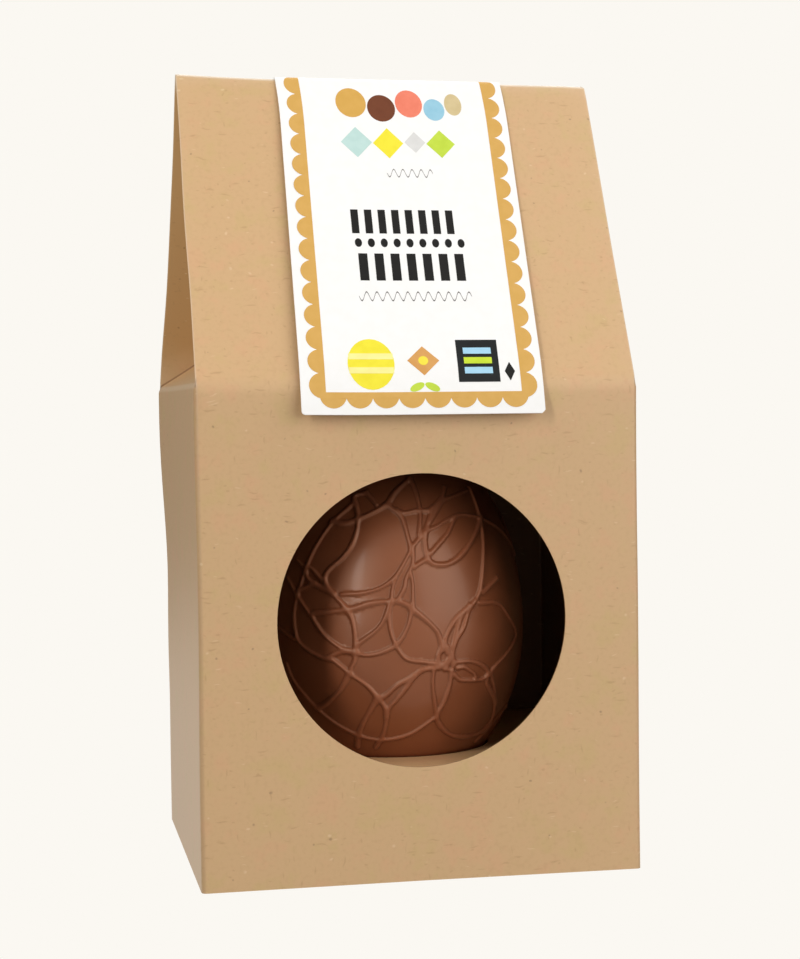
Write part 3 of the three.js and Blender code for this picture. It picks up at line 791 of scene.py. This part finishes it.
def build_label_card():
    fresh()
    bpy.ops.mesh.primitive_plane_add(size=1)
    card = settle("label_card", (LABEL_WIDTH, 2 * LABEL_LENGTH, 1))
    bpy.ops.object.mode_set(mode="EDIT")
    # the front foot's corners are rounded on the left and clipped on the right
    edge = LABEL_WIDTH / 2 - TOUCH
    pick("VERT", lambda vertex: vertex.co.y < 0 and vertex.co.x < -edge)
    bpy.ops.mesh.bevel(offset=ROUNDED_CORNER, segments=4, affect="VERTICES")
    pick("VERT", lambda vertex: vertex.co.y < 0 and vertex.co.x > edge)
    bpy.ops.mesh.bevel(offset=CLIPPED_CORNER, segments=1, affect="VERTICES")
    pick("VERT", lambda vertex: vertex.co.y > 0 and abs(vertex.co.x) > edge)
    bpy.ops.mesh.bevel(offset=BACK_CORNER, segments=3, affect="VERTICES")
    fresh()
    bend_over_ridge(card, LABEL_CARD, -1)
    return card


def scallops(start, end, count):
    """Outline points of half-round scallops that bulge to the right of the way from start to end."""
    start, end = Vector(start), Vector(end)
    chord = (end - start) / count
    along, outward = chord.normalized(), Vector((chord.y, -chord.x)).normalized()
    half = chord.length / 2
    radius = (half ** 2 + SCALLOP_DEPTH ** 2) / (2 * SCALLOP_DEPTH)
    reach = math.asin(half / radius) if SCALLOP_DEPTH <= radius else math.pi - math.asin(half / radius)
    points = []
    for i in range(count):
        middle = start + chord * (i + 0.5) + outward * (SCALLOP_DEPTH - radius)
        for j in range(SCALLOP_POINTS):
            turn = reach * (2 * j / SCALLOP_POINTS - 1)
            points.append(middle + radius * (along * math.sin(turn) + outward * math.cos(turn)))
    return points


def flat_outline(name, loops):
    """A flat filled piece from closed outlines, where an inner outline is a hole."""
    fresh()
    curve = bpy.data.curves.new(name, "CURVE")
    curve.dimensions, curve.fill_mode = "2D", "BOTH"
    for loop in loops:
        spline = curve.splines.new("POLY")
        spline.points.add(len(loop) - 1)
        for point, place in zip(spline.points, loop):
            point.co = (place[0], place[1], 0, 1)
        spline.use_cyclic_u = True
    piece = bpy.data.objects.new(name, curve)
    bpy.context.scene.collection.objects.link(piece)
    only(piece)
    bpy.ops.object.convert(target="MESH")
    piece = bpy.context.object
    bpy.ops.object.mode_set(mode="EDIT")
    bpy.ops.mesh.select_all(action="SELECT")
    bpy.ops.mesh.remove_doubles(threshold=0.001 * MM)
    bpy.ops.mesh.normals_make_consistent(inside=False)
    fresh()
    if piece.data.polygons[0].normal.z < 0:
        piece.data.flip_normals()
    return piece


def build_border():
    across = round(2 * CUSP_SIDE / SCALLOP)
    up = round(2 * CUSP_FOOT / SCALLOP)
    corners, inner = ([(-x, -y), (x, -y), (x, y), (-x, y)] for x, y in (
        (CUSP_SIDE, CUSP_FOOT), (CUSP_SIDE - BAND, CUSP_FOOT - BAND)))
    outer = []
    for start, end, count in zip(corners, corners[1:] + corners[:1], (across, up, across, up)):
        outer += scallops(start, end, count)
    border = flat_outline("scalloped_border", [outer, inner])
    reshape(border, lambda place: place + Vector((BORDER_X, 0, 0)))
    bend_over_ridge(border, INK, 1)
    return border


def oval(x, y, width, height, turn=0.0):
    bpy.ops.mesh.primitive_circle_add(vertices=28, radius=0.5, fill_type="NGON", location=(x, y, 0),
                                      rotation=(0, 0, math.radians(turn)))
    settle("shape", (width, height, 1))


def lozenge(x, y, width, height):
    bpy.ops.mesh.primitive_circle_add(vertices=4, radius=0.5, fill_type="NGON", location=(x, y, 0))
    settle("shape", (width, height, 1))


def bar(x, y, width, height):
    bpy.ops.mesh.primitive_plane_add(size=1, location=(x, y, 0))
    settle("shape", (width, height, 1))


def wavy_line(x, y, length, height, waves, width):
    """A thin printed line that runs in even waves. Its own width is in millimetres."""
    bpy.ops.mesh.primitive_grid_add(x_subdivisions=waves * 12, y_subdivisions=1, size=1, location=(x, y, 0))
    line = settle("shape", (length, width * MM, 1))

    def wave(place):
        turn = 2 * math.pi * waves * (place.x - x) / length
        return Vector((place.x, place.y + height / 2 * math.sin(turn), 0))

    reshape(line, wave)


def print_piece(name, shapes):
    """Prints shapes of one colour on the card, as one thin piece."""
    made = []
    for shape, *sizes in shapes:
        fresh()
        shape(*(size * MM for size in sizes[:4]), *sizes[4:])
        made.append(bpy.context.object)
    for piece in made:
        piece.select_set(True)
    if len(made) > 1:
        bpy.ops.object.join()
    piece = bpy.context.object
    piece.name = piece.data.name = name
    bend_over_ridge(piece, INK, 1)
    return piece


# What is printed on the front: name, ink, a deeper tone of it, and plain shapes. A shape has its place
# across, how far it is below the ridge, as a negative, its width and its height, in millimetres. An oval may
# then have a turn in degrees, and a wavy line has its count of waves and its own width.
PRINT = [
    ("print_ochre", "#D2A556", "#CEA150", [(oval, -11.2, -8.8, 8.0, 9.4)]),
    ("print_brown", "#6F3E28", "#693A25", [(oval, -3.3, -10.4, 7.4, 8.6)]),
    ("print_coral", "#E9846C", "#E47C64", [(oval, 4.2, -8.8, 7.2, 8.8)]),
    ("print_sky", "#97C6DB", "#8EC0D6", [(oval, 10.8, -10.6, 5.6, 7.0)]),
    ("print_beige", "#D0BE92", "#CAB78A", [(oval, 16.1, -8.8, 4.6, 7.0)]),
    ("print_aqua", "#BEDAD6", "#B7D5D1", [(lozenge, -10.8, -21.4, 8.2, 9.6)]),
    ("print_yellow", "#EEE23E", "#E9DC38", [
        (lozenge, -2.5, -21.6, 8.0, 9.6), (oval, -12.5, -87.4, 11.6, 13.8)]),
    ("print_silver", "#D9D9D8", "#D3D3D2", [(lozenge, 4.6, -21.2, 5.6, 6.6)]),
    ("print_lime", "#C0D84A", "#B9D142", [
        (lozenge, 11.4, -21.6, 7.6, 8.8), (oval, -1.5, -93.6, 3.9, 1.9, 26),
        (oval, 2.3, -93.6, 3.9, 1.9, -26)]),
    ("print_grey", "#5E5A57", "#565250", [
        (wavy_line, 2.4, -31.0, 12.0, 2.4, 5, 0.3), (wavy_line, 0.4, -68.2, 28.6, 2.6, 11, 0.34)]),
    ("print_black", "#131211", "#0E0D0D", (
        [(bar, -13.2 + 3.5 * i, -46.0, 1.9, 7.2) for i in range(8)]
        + [(oval, -12.8 + 3.3 * i, -52.4, 1.8, 2.6) for i in range(9)]
        + [(bar, -12.0 + 4.1 * i, -59.6, 2.3, 8.0) for i in range(7)]
        + [(lozenge, 22.0, -89.6, 2.6, 5.0)])),
    ("print_tulip", "#D49F5E", "#CF9857", [(lozenge, 0.5, -86.6, 8.0, 8.0)]),
    ("print_square", "#15181A", "#101315", [(bar, 14.2, -86.6, 10.4, 11.6)]),
]
# What is printed over that.
PRINT_OVER = [
    ("print_sash", "#F7EE9C", "#F2E894", [(bar, -12.5, -85.4, 11.0, 1.6), (bar, -12.5, -89.2, 11.0, 1.6)]),
    ("print_centre", "#EFDF4A", "#EAD944", [(oval, 0.5, -86.6, 2.4, 2.4)]),
    ("print_pale_bars", "#A6D3EC", "#9ECDE7", [(bar, 14.2, -83.9, 7.0, 1.7), (bar, 14.2, -89.3, 7.0, 1.7)]),
    ("print_lime_bar", "#C6DC3A", "#BFD634", [(bar, 14.2, -86.6, 7.0, 1.7)]),
]


# ------------------------------------------------------------------------------- floor, lights and camera

BACKDROP = "#FBF8F2"
FLOOR_RADIUS = 4             # metres
FLOOR_LIGHT = 0.32           # what the floor gives to matt surfaces, where the eye sees 1
ROOM_LIGHT = 0.01            # and what the room gives to them
ROOM_FRONT = 1.1             # what reflections see of the room in front
ROOM_BACK = 0.2              # and behind, and of the floor far from the carton
ROOM_CHANGE = (-0.8, -0.4)   # where the one becomes the other, from -1 straight ahead to 1 straight behind
POOL = (0.3, 1.0)            # metres over which the floor fades, in reflections, away from the carton

LAMP_COLOUR = "#FFFDFA"
LAMP_AIM = (0, 0, 90 * MM)
# A softbox is its name, degrees round from the front towards +X, degrees up, its distance, its width and
# its height in metres, and its power in watts.
SOFTBOXES = [
    ("right_softbox", 45, 19, 1.0, 1.2, 0.85, 8.4),
    ("left_softbox", -42, 21, 1.0, 0.15, 0.85, 4.75),
    ("overhead_right", 82, 56, 1.0, 0.4, 0.4, 2.6),
    ("overhead_left", -80, 45, 1.0, 0.4, 0.4, 2.9),
    ("back_fill", 160, 48, 1.1, 0.8, 0.8, 7.0),
]

CAMERA_TURN = math.radians(-11.515)    # round from the front towards +X
CAMERA_RISE = math.radians(2.136)
CAMERA_ROLL = math.radians(-0.639)
CAMERA_AIM = (0, 0, 100 * MM)
CAMERA_DISTANCE = 0.5087               # metres back from the aim, then to the right and up from there
CAMERA_ASIDE = 0.003502
CAMERA_RAISED = -0.003041
FOCAL_LENGTH = 71.78                   # millimetres, as is the sensor's width
SENSOR_WIDTH = 36


def glow_for_rays(tree, light, mirrored):
    """A strength that is 1 to the eye, mirrored in reflections, and light for matt surfaces."""
    ray = add_node(tree, "ShaderNodeLightPath").outputs
    strength = add_node(tree, "ShaderNodeMix", {0: ray["Is Glossy Ray"], 2: light, 3: mirrored}).outputs[0]
    return add_node(tree, "ShaderNodeMix", {0: ray["Is Camera Ray"], 2: strength, 3: 1.0}).outputs[0]


def build_floor():
    """A plain pale studio floor, which gives off its own light so that it stays even."""
    fresh()
    bpy.ops.mesh.primitive_circle_add(vertices=64, radius=FLOOR_RADIUS, fill_type="NGON")
    floor = settle("floor")
    material, tree = blank_material("pale_studio_floor")
    place = add_node(tree, "ShaderNodeTexCoord").outputs["Object"]
    reach = add_node(tree, "ShaderNodeVectorMath", {0: place}, operation="LENGTH").outputs["Value"]
    pool = add_node(tree, "ShaderNodeMapRange", {
        "Value": reach, "From Min": POOL[0], "From Max": POOL[1], "To Min": 1.0, "To Max": ROOM_BACK},
        interpolation_type="SMOOTHSTEP").outputs[0]
    glow = add_node(tree, "ShaderNodeEmission", {
        "Color": linear(BACKDROP), "Strength": glow_for_rays(tree, FLOOR_LIGHT, pool)})
    add_node(tree, "ShaderNodeOutputMaterial", {"Surface": glow.outputs[0]})
    material.cycles.emission_sampling = "NONE"
    floor.data.materials.append(material)


def build_world():
    """The studio: a white backdrop to the eye, a dim room for the rest."""
    world = bpy.data.worlds.new("studio")
    bpy.context.scene.world = world
    world.use_nodes = True
    world.cycles.sampling_method = "NONE"
    tree = world.node_tree
    tree.nodes.clear()
    way = add_node(tree, "ShaderNodeTexCoord").outputs["Generated"]
    level = add_node(tree, "ShaderNodeVectorMath", {0: way, 1: (1, 1, 0)}, operation="MULTIPLY").outputs[0]
    level = add_node(tree, "ShaderNodeVectorMath", {0: level}, operation="NORMALIZE").outputs[0]
    parts = add_node(tree, "ShaderNodeSeparateXYZ", {0: level}).outputs
    room = add_node(tree, "ShaderNodeMapRange", {
        "Value": parts["Y"], "From Min": ROOM_CHANGE[0], "From Max": ROOM_CHANGE[1],
        "To Min": ROOM_FRONT, "To Max": ROOM_BACK}, interpolation_type="SMOOTHSTEP").outputs[0]
    glow = add_node(tree, "ShaderNodeBackground", {
        "Color": linear(BACKDROP), "Strength": glow_for_rays(tree, ROOM_LIGHT, room)})
    add_node(tree, "ShaderNodeOutputWorld", {"Surface": glow.outputs[0]})


def way_out(turn, rise):
    """The way that points out by a turn from the front towards +X, and by a rise."""
    return Vector((math.sin(turn) * math.cos(rise), -math.cos(turn) * math.cos(rise), math.sin(rise)))


def soft_light(name, azimuth, elevation, distance, width, height, power):
    light = bpy.data.lights.new(name, "AREA")
    light.shape, light.size, light.size_y = "RECTANGLE", width, height
    light.energy = power
    light.color = linear(LAMP_COLOUR)[:3]
    way = way_out(math.radians(azimuth), math.radians(elevation))
    lamp = bpy.data.objects.new(name, light)
    lamp.location = Vector(LAMP_AIM) + way * distance
    lamp.rotation_euler = way.to_track_quat("Z", "Y").to_euler()
    bpy.context.scene.collection.objects.link(lamp)


def build_camera():
    back = way_out(CAMERA_TURN, CAMERA_RISE)
    level = Vector((math.cos(CAMERA_TURN), math.sin(CAMERA_TURN), 0))
    upright = back.cross(level)
    right = math.cos(CAMERA_ROLL) * level + math.sin(CAMERA_ROLL) * upright
    up = math.cos(CAMERA_ROLL) * upright - math.sin(CAMERA_ROLL) * level
    lens = bpy.data.cameras.new("camera")
    lens.lens, lens.sensor_width, lens.clip_start, lens.clip_end = FOCAL_LENGTH, SENSOR_WIDTH, 0.01, 20
    camera = bpy.data.objects.new("camera", lens)
    place = Vector(CAMERA_AIM) + back * CAMERA_DISTANCE + right * CAMERA_ASIDE + up * CAMERA_RAISED
    camera.matrix_world = Matrix.Translation(place) @ Matrix((right, up, back)).transposed().to_4x4()
    bpy.context.scene.collection.objects.link(camera)
    bpy.context.scene.camera = camera


# --------------------------------------------------------------------------------------------- everything

build_camera()

kraft = kraft_material("kraft_board", tan="#C8A57B", rosy="#CBA37B", olive="#C5A677", fibre="#A07C50")
insert = kraft_material("kraft_insert", tan="#DAB182", rosy="#DDAE81", olive="#D7B37E", fibre="#AD8658")
dress(build_carton(), kraft, "kraft_board", "carton")
for node, board in (("base_flaps", kraft), ("shelf", insert)):
    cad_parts[node].data.materials.clear()
    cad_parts[node].data.materials.append(board)

dress(build_egg(), chocolate_material(), "milk_chocolate", "egg")

dress(build_label_card(), card_material("white_card", "#F1F1F1", "#EFEFEE"), "label_card", "label")
dress(build_border(), card_material("ochre_ink", "#D2A65C", "#CEA256"), "label_card")
for name, colour, deeper, shapes in PRINT:
    dress(print_piece(name, shapes), card_material(name + "_ink", colour, deeper), "label_card")
for name, colour, deeper, shapes in PRINT_OVER:
    over = print_piece(name, shapes)
    finish_with(over, "DISPLACE", strength=INK, mid_level=0)
    dress(over, card_material(name + "_ink", colour, deeper), "label_card")

build_floor()
build_world()
for softbox in SOFTBOXES:
    soft_light(*softbox)

view = bpy.context.scene.view_settings
view.view_transform, view.look, view.exposure, view.gamma = "Standard", "None", 0, 1
